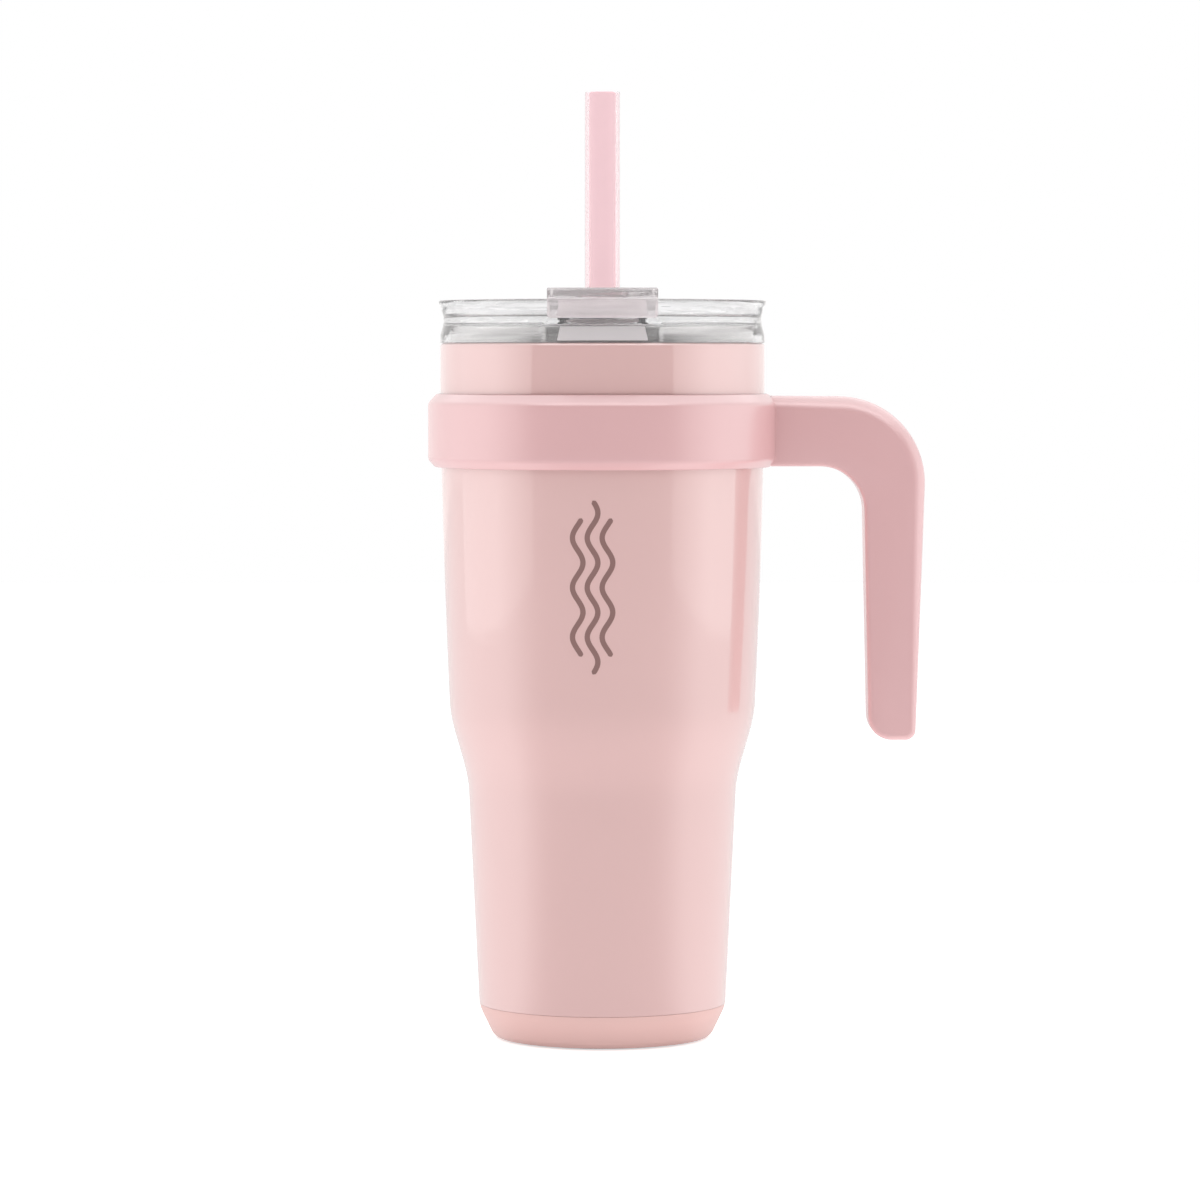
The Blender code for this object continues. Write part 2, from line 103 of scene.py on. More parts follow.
RIM_TOP = LID[1].z - 2.2 * MM  # the hinge ears stand above the rim
LID_FOOT = Z_SHOULDER + 0.1 * MM
SKIRT_FOOT = LID[0].z
DECK_TOP = PLUG[1].z - 4.9 * MM
DECK_FOOT = DECK_TOP - 2.2 * MM

FLAP_TOP = FLAP[1].z
FLAP_FOOT = FLAP_TOP - 2.7 * MM
FLAP_LIP_FOOT = FLAP[0].z
FLAP_R = -FLAP[0].y
FLAP_HALF = FLAP[1].x


# ---------------------------------------------------------------- mesh making

def smoothstep(low, high, value):
    share = min(1.0, max(0.0, (value - low) / (high - low)))
    return share * share * (3 - 2 * share)


def corner_arc(before, here, after, radius, step):
    """The points of a rounded corner, from three (u, v) points and a radius."""
    to_before = (before - here).normalized()
    to_after = (after - here).normalized()
    half = to_before.angle(to_after) / 2
    centre = here + (to_before + to_after).normalized() * radius / math.sin(half)
    first = here + to_before * radius / math.tan(half) - centre
    start = math.atan2(first.y, first.x)
    sweep = math.pi - 2 * half
    if to_before.cross(to_after) > 0:
        sweep = -sweep
    count = max(2, math.ceil(abs(sweep) / step))
    turns = [start + sweep * i / count for i in range(count + 1)]
    return [centre + Vector((math.cos(a), math.sin(a))) * radius for a in turns]


def outline(corners, longest=None, step=math.radians(10)):
    """A closed outline of (u, v, extra) points from (u, v, corner radius, extra) corners."""
    points = []
    for i, corner in enumerate(corners):
        here = Vector(corner[:2])
        before = Vector(corners[i - 1][:2])
        after = Vector(corners[(i + 1) % len(corners)][:2])
        extra = corner[3] if len(corner) > 3 else 0.0
        if corner[2]:
            arc = corner_arc(before, here, after, corner[2], step)
        else:
            arc = [here]
        points += [(p.x, p.y, extra) for p in arc]
    if longest is None:
        return points
    dense = []
    for i, (u, v, extra) in enumerate(points):
        end = points[(i + 1) % len(points)]
        count = max(1, math.ceil(math.dist((u, v), end[:2]) / longest))
        for k in range(count):
            share = k / count
            dense.append((
                u + (end[0] - u) * share,
                v + (end[1] - v) * share,
                extra + (end[2] - extra) * share,
            ))
    return dense


def object_from(bm, name):
    bmesh.ops.remove_doubles(bm, verts=bm.verts, dist=1e-7)
    axis_edges = [edge for edge in bm.edges if not edge.link_faces]
    bmesh.ops.delete(bm, geom=axis_edges, context="EDGES")
    bmesh.ops.recalc_face_normals(bm, faces=bm.faces)
    mesh = bpy.data.meshes.new(name)
    bm.to_mesh(mesh)
    bm.free()
    obj = bpy.data.objects.new(name, mesh)
    bpy.context.scene.collection.objects.link(obj)
    shade(obj)
    return obj


def shade(obj, angle=math.radians(32)):
    obj.data.shade_smooth()
    obj.data.set_sharp_from_angle(angle=angle)


def bridged(name, rings, closed=True, caps=False):
    """A mesh from rings of points. closed joins the last ring to the first, caps fills both ends."""
    bm = bmesh.new()
    made = [[bm.verts.new(point) for point in ring] for ring in rings]
    pairs = list(zip(made, made[1:]))
    if closed:
        pairs.append((made[-1], made[0]))
    for one, other in pairs:
        for i in range(len(one)):
            j = (i + 1) % len(one)
            bm.faces.new((one[i], one[j], other[j], other[i]))
    if caps:
        bm.faces.new(made[0])
        bm.faces.new(made[-1])
    return object_from(bm, name)


def lathe(name, points, angles=None, shape=None, segments=180):
    """A body of revolution about Z from a closed outline of (radius, z) points.

    shape(radius, z, angle) may return another radius. The angle is 0 at -Y.
    """
    angles = angles or [2 * math.pi * i / segments for i in range(segments)]
    rings = []
    for r, z, *_ in points:
        ring = []
        for angle in angles:
            radius = shape(r, z, angle) if shape else r
            ring.append((radius * math.sin(angle), -radius * math.cos(angle), z))
        rings.append(ring)
    return bridged(name, rings)


def pillow(name, points, half, place):
    """A slab with rounded edges: an outline of (u, v, fillet), grown to +-half along w.

    place(u, v, w) gives the point in the frame.
    """
    count = len(points)
    normals = []
    area = sum(
        points[i - 1][0] * points[i][1] - points[i][0] * points[i - 1][1] for i in range(count)
    )
    side = 1 if area > 0 else -1
    for i in range(count):
        along = Vector(points[(i + 1) % count][:2]) - Vector(points[i - 1][:2])
        normals.append(Vector((along.y, -along.x)).normalized() * side)
    fillets = sorted({round(p[2], 7) for p in points if p[2]})
    turns = [math.radians(15 * i) for i in range(7)]
    depths = {0.0}
    for fillet in (fillets[0], fillets[-1]):
        depths |= {round(half - fillet * (1 - math.sin(turn)), 8) for turn in turns}
    depths = sorted(depths)
    levels = [-d for d in reversed(depths) if d] + depths
    rings = []
    for w in levels:
        ring = []
        for (u, v, fillet), normal in zip(points, normals):
            over = max(0.0, abs(w) - (half - fillet))
            inset = fillet - math.sqrt(max(0.0, fillet * fillet - over * over))
            ring.append(place(u - normal.x * inset, v - normal.y * inset, w))
        rings.append(ring)
    return bridged(name, rings, closed=False, caps=True)


def boolean(obj, operation, other):
    """Applies the Boolean at once and removes the other object."""
    modifier = obj.modifiers.new(operation, "BOOLEAN")
    modifier.operation = operation
    modifier.object = other
    modifier.solver = "MANIFOLD"
    bpy.context.view_layer.update()
    graph = bpy.context.evaluated_depsgraph_get()
    mesh = bpy.data.meshes.new_from_object(obj.evaluated_get(graph))
    obj.modifiers.clear()
    obj.data = mesh
    bpy.data.objects.remove(other)
    shade(obj)
    return obj


def stadium(half_long, half_short, centre_y, z, steps=12):
    """A ring of points with round ends, long in X."""
    reach = half_long - half_short
    ring = []
    for side in (1, -1):
        for i in range(steps + 1):
            turn = math.pi * (i / steps - 0.5) + (0 if side > 0 else math.pi)
            ring.append((
                side * reach + half_short * math.cos(turn),
                centre_y + half_short * math.sin(turn),
                z,
            ))
    return ring


def finish_piece(obj, body, material, slot, *nodes):
    """Gives a piece its material and body, and hides the CAD nodes it stands for. The slot is not used."""
    obj.data.materials.clear()
    obj.data.materials.append(material)
    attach(obj, body)
    if nodes:
        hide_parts(*nodes)
    return obj


# ---------------------------------------------------------------- materials

def new_material(name, colour, roughness, **sockets):
    """A Principled material. Returns (material, nodes, links, shader)."""
    material = bpy.data.materials.new(name)
    material.use_nodes = True
    nodes, links = material.node_tree.nodes, material.node_tree.links
    shader = nodes["Principled BSDF"]
    shader.inputs["Base Color"].default_value = (*colour, 1.0)
    shader.inputs["Roughness"].default_value = roughness
    for socket, value in sockets.items():
        shader.inputs[socket.replace("_", " ")].default_value = value
    return material, nodes, links, shader


def noise(nodes, links, scale, detail=3.0, stretch=(1, 1, 1)):
    """The value of a noise texture in object space, in cycles per metre."""
    place = nodes.new("ShaderNodeTexCoord")
    mapping = nodes.new("ShaderNodeMapping")
    mapping.inputs["Scale"].default_value = stretch
    texture = nodes.new("ShaderNodeTexNoise")
    texture.inputs["Scale"].default_value = scale
    texture.inputs["Detail"].default_value = detail
    links.new(place.outputs["Object"], mapping.inputs["Vector"])
    links.new(mapping.outputs["Vector"], texture.inputs["Vector"])
    return texture.outputs["Fac"]


def vary_colour(nodes, links, shader, value, one, other):
    """Base colour between two colours by a noise value."""
    mix = nodes.new("ShaderNodeMix")
    mix.data_type = "RGBA"
    mix.inputs["A"].default_value = (*one, 1.0)
    mix.inputs["B"].default_value = (*other, 1.0)
    links.new(value, mix.inputs["Factor"])
    links.new(mix.outputs["Result"], shader.inputs["Base Color"])


def remap(nodes, links, value, low, high, to_low, to_high, smooth=True):
    """A value carried from low..high to to_low..to_high, clamped at both ends."""
    ramp = nodes.new("ShaderNodeMapRange")
    ramp.interpolation_type = "SMOOTHSTEP" if smooth else "LINEAR"
    ends = (low, high, to_low, to_high)
    for socket, end in zip(("From Min", "From Max", "To Min", "To Max"), ends):
        ramp.inputs[socket].default_value = end
    links.new(value, ramp.inputs["Value"])
    return ramp.outputs["Result"]


def vary_roughness(nodes, links, shader, value, low, high):
    links.new(remap(nodes, links, value, 0.0, 1.0, low, high, False), shader.inputs["Roughness"])


def bump(nodes, links, shader, value, height, strength=1.0, coat=False):
    made = nodes.new("ShaderNodeBump")
    made.inputs["Distance"].default_value = height
    made.inputs["Strength"].default_value = strength
    links.new(value, made.inputs["Height"])
    links.new(made.outputs["Normal"], shader.inputs["Normal"])
    if coat:
        links.new(made.outputs["Normal"], shader.inputs["Coat Normal"])


def shaded(colour, factor):
    return tuple(channel * factor for channel in colour)


PAINT_PINK = (0.740, 0.474, 0.460)
PLASTIC_PINK = (0.740, 0.425, 0.435)
BASE_PINK = (0.74, 0.465, 0.435)
STRAW_PINK = (0.985, 0.815, 0.840)
STEEL_GREY = (0.76, 0.75, 0.74)


def gloss_paint():
    """Glossy enamel with a faint orange peel."""
    made = new_material(
        "gloss_paint", PAINT_PINK, 0.35, Coat_Weight=1.0, Coat_Roughness=0.05, Coat_IOR=2.2
    )
    material, nodes, links, shader = made
    cloud = noise(nodes, links, 28.0, 2.0)
    vary_colour(nodes, links, shader, cloud, shaded(PAINT_PINK, 0.985), shaded(PAINT_PINK, 1.015))
    vary_roughness(nodes, links, shader, noise(nodes, links, 160.0), 0.32, 0.40)
    bump(nodes, links, shader, noise(nodes, links, 420.0, 2.0), 0.012 * MM, coat=True)
    return material


def moulded_plastic(name, colour, low, high, grain=0.02 * MM, gloss=0.0):
    """Satin plastic with a fine spark-eroded grain. gloss adds a smoother skin."""
    material, nodes, links, shader = new_material(
        name, colour, (low + high) / 2, Coat_Weight=gloss, Coat_Roughness=0.26, Coat_IOR=2.2
    )
    cloud = noise(nodes, links, 40.0, 2.0)
    vary_colour(nodes, links, shader, cloud, shaded(colour, 0.98), shaded(colour, 1.02))
    vary_roughness(nodes, links, shader, noise(nodes, links, 300.0), low, high)
    bump(nodes, links, shader, noise(nodes, links, 2600.0, 1.0), grain)
    return material


def clear_plastic(name, dark, light, transmission):
    """Clear moulded copolyester. Its colour holds long grey streaks that run round the lid, which are
    painted reflections; the bump adds faint moulding lines.
    """
    material, nodes, links, shader = new_material(
        name, light, 0.02, Transmission_Weight=transmission, IOR=1.52
    )
    # Painted reflections: grey streaks stretched round the lid, mixed into the base colour between dark and
    # light.
    painted_reflection_streaks = noise(nodes, links, 26.0, 3.0, (1, 1, 18))
    vary_colour(nodes, links, shader, remap(nodes, links, painted_reflection_streaks, 0.38, 0.62, 0.0, 1.0, False), dark, light)
    bump(nodes, links, shader, noise(nodes, links, 70.0, 1.5, (1, 1, 6)), 0.22 * MM)
    return material


def frosted(name, colour, transmission, low, high, ior=1.42, grain=0.01 * MM):
    """Plastic or silicone that light passes through: milky, frosted, or tinted for the straw."""
    material, nodes, links, shader = new_material(
        name, colour, (low + high) / 2, Transmission_Weight=transmission, IOR=ior
    )
    cloud = noise(nodes, links, 90.0, 2.0)
    vary_colour(nodes, links, shader, cloud, shaded(colour, 0.97), shaded(colour, 1.0))
    vary_roughness(nodes, links, shader, noise(nodes, links, 500.0), low, high)
    bump(nodes, links, shader, noise(nodes, links, 1800.0, 1.0), grain)
    return material


def brushed_steel():
    """Steel with fine turned lines round the axis: bright at the lip, and satin below it."""
    material, nodes, links, shader = new_material("brushed_steel", STEEL_GREY, 0.3)
    place = nodes.new("ShaderNodeTexCoord")
    split = nodes.new("ShaderNodeSeparateXYZ")
    flat = nodes.new("ShaderNodeCombineXYZ")
    length = nodes.new("ShaderNodeVectorMath")
    length.operation = "LENGTH"
    rings = nodes.new("ShaderNodeCombineXYZ")
    links.new(place.outputs["Object"], split.inputs["Vector"])
    links.new(split.outputs["X"], flat.inputs["X"])
    links.new(split.outputs["Y"], flat.inputs["Y"])
    links.new(flat.outputs["Vector"], length.inputs[0])
    links.new(length.outputs["Value"], rings.inputs["X"])
    links.new(split.outputs["Z"], rings.inputs["Z"])
    lines = nodes.new("ShaderNodeTexNoise")
    lines.inputs["Scale"].default_value = 2200.0
    lines.inputs["Detail"].default_value = 4.0
    links.new(rings.outputs["Vector"], lines.inputs["Vector"])
    vary_colour(
        nodes, links, shader, lines.outputs["Fac"], shaded(STEEL_GREY, 0.9), shaded(STEEL_GREY, 1.08)
    )
    vary_roughness(nodes, links, shader, lines.outputs["Fac"], 0.18, 0.30)
    bump(nodes, links, shader, lines.outputs["Fac"], 0.01 * MM)
    satin_top, lip_foot = LINER[1].z - 6 * MM, LINER[1].z - 3 * MM
    metallic = remap(nodes, links, split.outputs["Z"], satin_top, lip_foot, 0.40, 0.85)
    links.new(metallic, shader.inputs["Metallic"])
    return material


PAINT = gloss_paint()
HANDLE_PLASTIC = moulded_plastic("handle_plastic", PLASTIC_PINK, 0.38, 0.48, gloss=0.9)
BASE_PLASTIC = moulded_plastic("base_plastic", BASE_PINK, 0.44, 0.54, gloss=0.3)
# The first colour of each clear material is the grey of its painted reflection streaks.
CLEAR = clear_plastic("clear_plastic", (0.80, 0.795, 0.80), (0.965, 0.963, 0.967), 0.93)
FLAP_CLEAR = clear_plastic("flap_plastic", (0.92, 0.88, 0.89), (0.99, 0.955, 0.965), 0.76)
SILICONE = frosted("silicone", (0.90, 0.90, 0.91), 0.7, 0.35, 0.5)
STOPPER = frosted("stopper_silicone", (0.98, 0.87, 0.89), 0.15, 0.20, 0.30)
FROST = frosted("frosted_patch", (0.77, 0.73, 0.74), 0.3, 0.4, 0.5)
TREAD = moulded_plastic("tread_silicone", (0.36, 0.33, 0.33), 0.6, 0.75, 0.04 * MM)
STRAW_PLASTIC = frosted("straw_plastic", STRAW_PINK, 0.97, 0.05, 0.09, 1.25, 0.0002 * MM)
STEEL = brushed_steel()
INK = moulded_plastic("printed_ink", (0.256, 0.140, 0.130), 0.4, 0.5, 0.005 * MM)
GETTER = moulded_plastic("getter", (0.20, 0.20, 0.21), 0.7, 0.85, 0.05 * MM)
SOLDER = moulded_plastic("glass_solder", (0.25, 0.27, 0.30), 0.15, 0.25, 0.01 * MM)


# ---------------------------------------------------------------- cup

def wall_radius(z):
    """The painted face: straight mouth, belly that draws in, soft step and taper."""
    depth = max(0.0, (Z_BELLY - z) / (Z_BELLY - Z_STEP_TOP))
    upper = R_MOUTH - BELLY_DRAW * depth**BELLY_CURVE
    slope = (R_STEP_FOOT - R_SEAM) / (Z_STEP_FOOT - Z_SEAM)
    lower = R_SEAM + slope * (z - Z_SEAM)
    return upper + (lower - upper) * smoothstep(0.0, 1.0, (Z_STEP_TOP - z) / (Z_STEP_TOP - Z_STEP_FOOT))


def wall_line(offset, top, foot, pitch=1.5 * MM):
    """(radius, z) points of the wall moved in by an offset, from top to foot."""
    count = math.ceil((top - foot) / pitch)
    heights = [top + (foot - top) * i / count for i in range(count + 1)]
    return [(wall_radius(z) - offset, z) for z in heights]


def fillet(centre, radius, start, end, steps=8):
    """(radius, z) points of a fillet, in degrees counter-clockwise from +radius."""
    turns = [math.radians(start + (end - start) * i / steps) for i in range(steps + 1)]
    return [(centre[0] + radius * math.cos(a), centre[1] + radius * math.sin(a)) for a in turns]


SEAM_RISE = 0.13 * MM  # the wall and the base both reach this far into the frame's gap


def make_painted_wall():
    edge = 0.9 * MM
    foot_edge = 0.12 * MM
    seam = Z_SEAM - SEAM_RISE
    outer = [
        (R_LIP + 0.1 * MM, Z_SHOULDER),
        *fillet((R_MOUTH - edge, Z_SHOULDER - edge), edge, 90, 0),
        *wall_line(0.0, Z_SHOULDER - edge - MM, seam + foot_edge),
        *fillet((wall_radius(seam) - foot_edge, seam + foot_edge), foot_edge, 0, -90, 4),
    ]
    inner = [
        *wall_line(WALL, Z_SHOULDER - edge - MM, seam + WALL)[::-1],
        (R_MOUTH - WALL - 0.6 * MM, Z_SHOULDER - WALL),
        (R_LIP + 0.1 * MM, Z_SHOULDER - WALL),
    ]
    wall = lathe("painted_wall", outer + inner, segments=256)
    finish_piece(wall, "cup", PAINT, "paint", "outer_shell")


def make_steel_liner():
    """Drinking wall, floor and the bare lip, drawn in one."""
    rim = 0.75 * MM
    rim_z = LINER[1].z - rim
    corner = 6.3 * MM
    floor_z = FLOOR_DISH[0].z
    tube_foot = floor_z + corner
    tube_r = wall_radius(tube_foot) - LINER_INSET + WALL
    outer_corner = (tube_r - corner, floor_z + corner)
    inside = [
        *wall_line(LINER_INSET, Z_SHOULDER - 2 * MM, tube_foot),
        *fillet(outer_corner, corner - WALL, 0, -90, 10),
        (0.0, floor_z + WALL),
    ]
    outside = [
        (0.0, floor_z),
        *fillet(outer_corner, corner, -90, 0, 10),
        *wall_line(LINER_INSET - WALL, Z_SHOULDER - 2 * MM, tube_foot)[::-1],
    ]
    bore = R_MOUTH - LINER_INSET
    lip_inside = R_LIP - WALL - 0.35 * MM
    lip = [
        (lip_inside, Z_SHOULDER + 0.2 * MM),
        (R_LIP, Z_SHOULDER + 0.2 * MM),
        (R_LIP, rim_z),
        *fillet((R_LIP - rim, rim_z), rim, 0, 90, 6),
        *fillet((bore + rim, rim_z), rim, 90, 180, 6),
    ]
    liner = lathe("steel_liner", inside + outside + lip, segments=192)
    finish_piece(liner, "cup", STEEL, "steel", "inner_liner", "liner_floor")


def make_base_moulding():
    """Straight cone down to a small rolled corner. It rises into the seam, which stays a fine line."""
    top = CAP[1].z + SEAM_RISE
    foot = CAP[0].z
    floor_z = PAD[1].z + GAP
    ledge = PAD[1].x + GAP
    corners = [
        (CAP[1].x, top, 0.12 * MM),
        (35.35 * MM, 8.2 * MM, 8.0 * MM),
        (32.1 * MM, 1.5 * MM, 2.5 * MM),
        (30.9 * MM, foot, 0.8 * MM),
        (ledge, foot, 0.3 * MM),
        (ledge, floor_z, 0.1 * MM),
        (1.0 * MM, floor_z, 0.1 * MM),
        (1.0 * MM, floor_z + 1.2 * MM, 0.1 * MM),
        (31.6 * MM, 3.0 * MM, 0.1 * MM),
        (34.6 * MM, top, 0.1 * MM),
    ]
    base = lathe("base_moulding", outline(corners, 0.8 * MM, math.radians(6)), segments=256)
    finish_piece(base, "cup", BASE_PLASTIC, "base_plastic", "base_cap")


def make_foot_tread():
    """Pad with concentric grooves in its underside."""
    radius = PAD[1].x
    top = PAD[1].z
    groove = 0.45 * MM
    pitch = 5.0 * MM
    corners = [(0.0, top, 0.0), (radius, top, 0.2 * MM), (radius, 0.0, 0.3 * MM)]
    r = radius - 2.5 * MM
    while r > 6 * MM:
        corners += [
            (r, 0.0, 0.12 * MM),
            (r - 0.3 * MM, groove, 0.12 * MM),
            (r - 1.2 * MM, groove, 0.12 * MM),
            (r - 1.5 * MM, 0.0, 0.12 * MM),
        ]
        r -= pitch
    corners.append((0.0, 0.0, 0.0))
    tread = lathe("foot_tread", outline(corners, step=math.radians(30)), segments=128)
    finish_piece(tread, "cup", TREAD, "grey_silicone", "foot_pad")


def make_printed_mark():
    """A generic mark: three upright waves side by side, printed on the wall."""
    foot, top = 108.2 * MM, 157.2 * MM
    half_stroke = 0.75 * MM
    sway_reach, sway_length = 1.5 * MM, 14 * MM
    proud, sunk = 0.05 * MM, 0.05 * MM
    steps = 120
    for number, across in enumerate((-7.0 * MM, -2.8 * MM, 1.4 * MM)):
        inset = 5.0 * MM * abs(number - 1)
        low, high = foot + inset, top - inset
        centre = []
        for i in range(steps + 1):
            z = low + (high - low) * i / steps
            sway = sway_reach * math.sin(2 * math.pi * (z - foot) / sway_length)
            centre.append(Vector((across + sway, z)))
        bm = bmesh.new()
        rows = []
        for i, point in enumerate(centre):
            ahead = centre[min(i + 1, steps)] - centre[max(i - 1, 0)]
            normal = Vector((ahead.y, -ahead.x)).normalized()
            from_end = min(i, steps - i) / steps * (high - low)
            half = math.sqrt(max(0.0, half_stroke**2 - max(0.0, half_stroke - from_end) ** 2))
            row = []
            for side in (-1, -0.5, 0, 0.5, 1):
                u, z = point + normal * side * max(half, 0.02 * MM)
                for lift in (proud, -sunk):
                    radius = wall_radius(z) + lift
                    angle = u / wall_radius(z)
                    row.append(bm.verts.new((radius * math.sin(angle), -radius * math.cos(angle), z)))
            rows.append(row)
        for one, other in zip(rows, rows[1:]):
            for k in range(0, 8, 2):
                bm.faces.new((one[k], one[k + 2], other[k + 2], other[k]))
                bm.faces.new((one[k + 1], other[k + 1], other[k + 3], one[k + 3]))
            bm.faces.new((one[0], other[0], other[1], one[1]))
            bm.faces.new((one[8], one[9], other[9], other[8]))
        for row in (rows[0], rows[-1]):
            bm.faces.new([row[k] for k in (0, 2, 4, 6, 8, 9, 7, 5, 3, 1)])
        wave = object_from(bm, f"printed_wave_{number}")
        finish_piece(wave, "cup", INK, "paint")


# ---------------------------------------------------------------- handle

HANDLE_HALF = 8.2 * MM  # half the grip's thickness, front to back


def make_collar_and_grip():
    recess = BAND[1].x + GAP
    low, high = BAND[0].z - GAP, BAND[1].z + GAP
    ring = lathe("collar_and_grip", outline([
        (COLLAR_BORE, COLLAR_TOP, 0.4 * MM),
        (COLLAR_R - 2.4 * MM, COLLAR_TOP, 1.3 * MM),
        (COLLAR_R, COLLAR_TOP - 2.7 * MM, 2.2 * MM),
        (COLLAR_R, COLLAR_FOOT + 2.2 * MM, 1.8 * MM),
        (COLLAR_R - 2.0 * MM, COLLAR_FOOT, 1.2 * MM),
        (COLLAR_BORE, COLLAR_FOOT, 0.4 * MM),
        (COLLAR_BORE, low, 0.2 * MM),
        (recess, low, 0.2 * MM),
        (recess, high, 0.2 * MM),
        (COLLAR_BORE, high, 0.2 * MM),
    ], 2.0 * MM), segments=256)
    far = HANDLE[1].x + 0.9 * MM
    foot = HANDLE[0].z
    root = 30 * MM
    wide, narrow, end = 4.4 * MM, 1.5 * MM, 2.0 * MM
    grip = pillow("grip", outline([
        (root, COLLAR_TOP - 0.4 * MM, 0.0, 3.0 * MM),
        (far, COLLAR_TOP - 0.9 * MM, 25.0 * MM, wide),
        (far - 3.7 * MM, foot, 3.0 * MM, end),
        (far - 17.3 * MM, foot, 7.0 * MM, end),
        (far - 18.9 * MM, COLLAR_FOOT + 0.3 * MM, 12.8 * MM, narrow),
        (root, COLLAR_FOOT + 0.3 * MM, 0.0, narrow),
    ], 1.5 * MM, math.radians(4)), HANDLE_HALF, lambda u, v, w: (u, w, v))
    core = lathe("grip_core", [
        (0.0, COLLAR_TOP + 5 * MM),
        (recess + 0.5 * MM, COLLAR_TOP + 5 * MM),
        (recess + 0.5 * MM, COLLAR_FOOT - 5 * MM),
        (0.0, COLLAR_FOOT - 5 * MM),
    ], segments=256)
    boolean(grip, "DIFFERENCE", core)
    boolean(ring, "UNION", grip)
    finish_piece(ring, "handle", HANDLE_PLASTIC, "handle_plastic", "handle")


def make_grip_band():
    """Silicone band with shallow ribs, inside the collar."""
    inside, outside = COLLAR_BORE, BAND[1].x
    low, high = BAND[0].z, BAND[1].z
    ribs = 5
    corners = [(outside, high, 0.1 * MM), (outside, low, 0.1 * MM), (inside + 0.3 * MM, low, 0.1 * MM)]
    pitch = (high - low) / ribs
    for i in range(ribs):
        start = low + pitch * i
        corners += [
            (inside + 0.3 * MM, start + 0.5 * MM, 0.08 * MM),
            (inside, start + 1.0 * MM, 0.2 * MM),
            (inside, start + pitch - 1.0 * MM, 0.2 * MM),
            (inside + 0.3 * MM, start + pitch - 0.5 * MM, 0.08 * MM),
        ]
    corners.append((inside + 0.3 * MM, high, 0.1 * MM))
    band = lathe("grip_band", outline(corners, step=math.radians(30)), segments=160)
    finish_piece(band, "handle", SILICONE, "silicone", "handle_band")


# ---------------------------------------------------------------- lid

NOTCH_HALF = 17.2 * MM  # along the band
NOTCH_R = 45.85 * MM
NOTCH_TOP = LID_FOOT + 6.4 * MM
SLOT_Y = (PLUG[0].y + PLUG[1].y) / 2
VENT_Y = (VENT[0].y + VENT[1].y) / 2
PIN_R = PIN[1].z - HINGE.z
EAR_IN, EAR_OUT = 12.3 * MM, 15.3 * MM


def notch_share(across, z):
    """1 inside the relief in the lid's band, 0 outside, with a rounded edge and top corners."""
    corner = 1.8 * MM
    edge = 0.55 * MM
    dx = abs(across) - (NOTCH_HALF - corner)
    dz = z - (NOTCH_TOP - corner)
    outside = math.hypot(max(dx, 0.0), max(dz, 0.0))
    distance = outside + min(max(dx, dz), 0.0) - corner
    return 1 - smoothstep(-edge, edge, distance)


def lid_shape(r, z, angle):
    across = math.remainder(angle, 2 * math.pi) * R_MOUTH
    if r <= NOTCH_R or z > NOTCH_TOP + MM or abs(across) > NOTCH_HALF + 2 * MM:
        return r
    return r + (NOTCH_R - r) * notch_share(across, z)


def make_clear_lid():
    waist_z = DECK_TOP - 1.2 * MM
    groove_low, groove_high = GASKET[0].z - GAP, GASKET[1].z + GAP
    groove_r = GASKET[1].x - 1.85 * MM
    skirt_r = groove_r + 1.6 * MM
    skirt_bore = skirt_r - 2.4 * MM
    hole_r = 6.4 * MM
    channel_r = R_LIP + 0.4 * MM
    profile = outline([
        (47.6 * MM, RIM_TOP, 0.45 * MM),
        (46.55 * MM, RIM_TOP - 3.0 * MM, 3.0 * MM),
        (46.0 * MM, RIM_TOP - 4.6 * MM, 3.0 * MM),
        (46.05 * MM, waist_z - 0.6 * MM, 1.4 * MM),
        (46.9 * MM, LID_FOOT + 2.3 * MM, 2.0 * MM),
        (47.05 * MM, LID_FOOT, 0.3 * MM),
        (channel_r, LID_FOOT, 0.25 * MM),
        (channel_r, DECK_FOOT, 0.7 * MM),
        (skirt_r, DECK_FOOT, 0.4 * MM),
        (skirt_r, groove_high, 0.2 * MM),
        (groove_r, groove_high, 0.2 * MM),
        (groove_r, groove_low, 0.2 * MM),
        (skirt_r, groove_low, 0.2 * MM),
        (skirt_r - 0.6 * MM, SKIRT_FOOT, 0.6 * MM),
        (skirt_bore, SKIRT_FOOT, 0.6 * MM),
        (skirt_bore, DECK_FOOT, 1.0 * MM),
        (hole_r, DECK_FOOT, 0.3 * MM),
        (hole_r, DECK_TOP, 0.3 * MM),
        (43.9 * MM, DECK_TOP, 1.0 * MM),
        (45.4 * MM, RIM_TOP, 0.5 * MM),
    ], 0.7 * MM, math.radians(15))
    coarse = {round(2 * math.pi * i / 240, 6) for i in range(240)}
    for side in (-1, 1):
        middle = side * NOTCH_HALF / R_MOUTH
        fine = [middle + math.radians(0.2 * i) for i in range(-16, 17)]
        coarse |= {round(angle % (2 * math.pi), 6) for angle in fine}
    lid = lathe("clear_lid", profile, sorted(coarse), lid_shape)
    for side in (-1, 1):
        boolean(lid, "UNION", ear(side))
    boolean(lid, "DIFFERENCE", rod("bore", PIN_R + 0.2 * MM, 40 * MM, 0.0))
    for name, ring in (("slot", slot_rings()), ("vent", vent_rings())):
        boolean(lid, "DIFFERENCE", bridged(name, ring, closed=False, caps=True))
    hide_from(lid, "shadow")
    finish_piece(lid, "lid", CLEAR, "clear_plastic", "lid_body")


